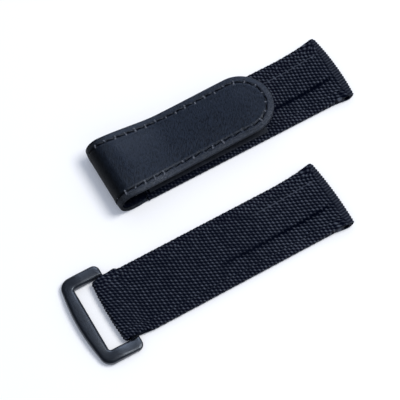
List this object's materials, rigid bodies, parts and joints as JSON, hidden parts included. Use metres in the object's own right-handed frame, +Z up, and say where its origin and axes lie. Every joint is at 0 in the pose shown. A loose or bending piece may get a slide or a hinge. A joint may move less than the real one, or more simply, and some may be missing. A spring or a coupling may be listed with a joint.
{
  "type": "nylon watch strap",
  "caption": "Two-piece woven nylon watch strap: one half ends in a leather tab folded back on hook and loop, the other in a flat metal ring on a webbing eye.",
  "frame": {"origin": "bottom centre of the box round both halves as they lie", "axes": "+X along both halves towards the watch, +Y across from the buckle half to the tail half, +Z up from the table they lie on"},
  "size_m": [0.104, 0.0594, 0.0088],
  "materials": {
    "nylon": "coarse basket-woven nylon, near black with a blue cast, slight sheen on the yarns",
    "lining": "fine woven nylon lining, matt",
    "webbing": "flat woven nylon, matt",
    "core": "felted filler, hidden",
    "loop_pile": "brushed loop pile, matt black",
    "hook_tape": "moulded nylon hooks, satin black",
    "leather": "smooth fine-grained leather, soft satin, black with a blue cast",
    "black_metal": "satin black coated metal, bead-blasted"
  },
  "bodies": {
    "tail_half": {"tail_cover": "nylon", "tail_core": "core", "tail_lining": "lining", "tail_lug_sleeve": "nylon", "loop_patch": "loop_pile", "tab_leather_root": "leather", "tab_webbing_root": "webbing"},
    "fold_1": {"fold_leather_1": "leather", "fold_webbing_1": "webbing"},
    "fold_2": {"fold_leather_2": "leather", "fold_webbing_2": "webbing"},
    "fold_3": {"fold_leather_3": "leather", "fold_webbing_3": "webbing"},
    "fold_4": {"fold_leather_4": "leather", "fold_webbing_4": "webbing"},
    "tab": {"tab_leather": "leather", "tab_webbing": "webbing", "hook_patch": "hook_tape"},
    "buckle_half": {"buckle_cover": "nylon", "buckle_core": "core", "buckle_lining": "lining", "buckle_lug_sleeve": "nylon", "buckle_bar_eye": "nylon"},
    "ring": {"ring": "black_metal"}
  },
  "joints": [
    {"name": "tab_fold_1", "type": "hinge", "parent": "tail_half", "child": "fold_1", "pos_m": [-0.021, 0.01915, 0], "axis": [0, -1, 0], "range_deg": [0, 22.5]},
    {"name": "tab_fold_2", "type": "hinge", "parent": "fold_1", "child": "fold_2", "pos_m": [-0.02411, 0.01915, 0.00129], "axis": [0, -1, 0], "range_deg": [0, 45]},
    {"name": "tab_fold_3", "type": "hinge", "parent": "fold_2", "child": "fold_3", "pos_m": [-0.0254, 0.01915, 0.0044], "axis": [0, -1, 0], "range_deg": [0, 45]},
    {"name": "tab_fold_4", "type": "hinge", "parent": "fold_3", "child": "fold_4", "pos_m": [-0.02411, 0.01915, 0.00751], "axis": [0, -1, 0], "range_deg": [0, 45]},
    {"name": "tab_fold_5", "type": "hinge", "parent": "fold_4", "child": "tab", "pos_m": [-0.021, 0.01915, 0.0088], "axis": [0, -1, 0], "range_deg": [0, 22.5]},
    {"name": "buckle_half_lift", "type": "slide", "parent": "tail_half", "child": "buckle_half", "axis": [0, 0, 1], "range_m": [0, 0.03]},
    {"name": "ring_turn", "type": "hinge", "parent": "buckle_half", "child": "ring", "pos_m": [-0.0405, -0.01575, 0.0015], "axis": [0, 1, 0], "range_deg": [-150, 150]}
  ],
  "couplings": [
    {"joint": "tab_fold_2", "follows": "tab_fold_1", "ratio": 2},
    {"joint": "tab_fold_3", "follows": "tab_fold_1", "ratio": 2},
    {"joint": "tab_fold_4", "follows": "tab_fold_1", "ratio": 2},
    {"joint": "tab_fold_5", "follows": "tab_fold_1", "ratio": 1}
  ]
}
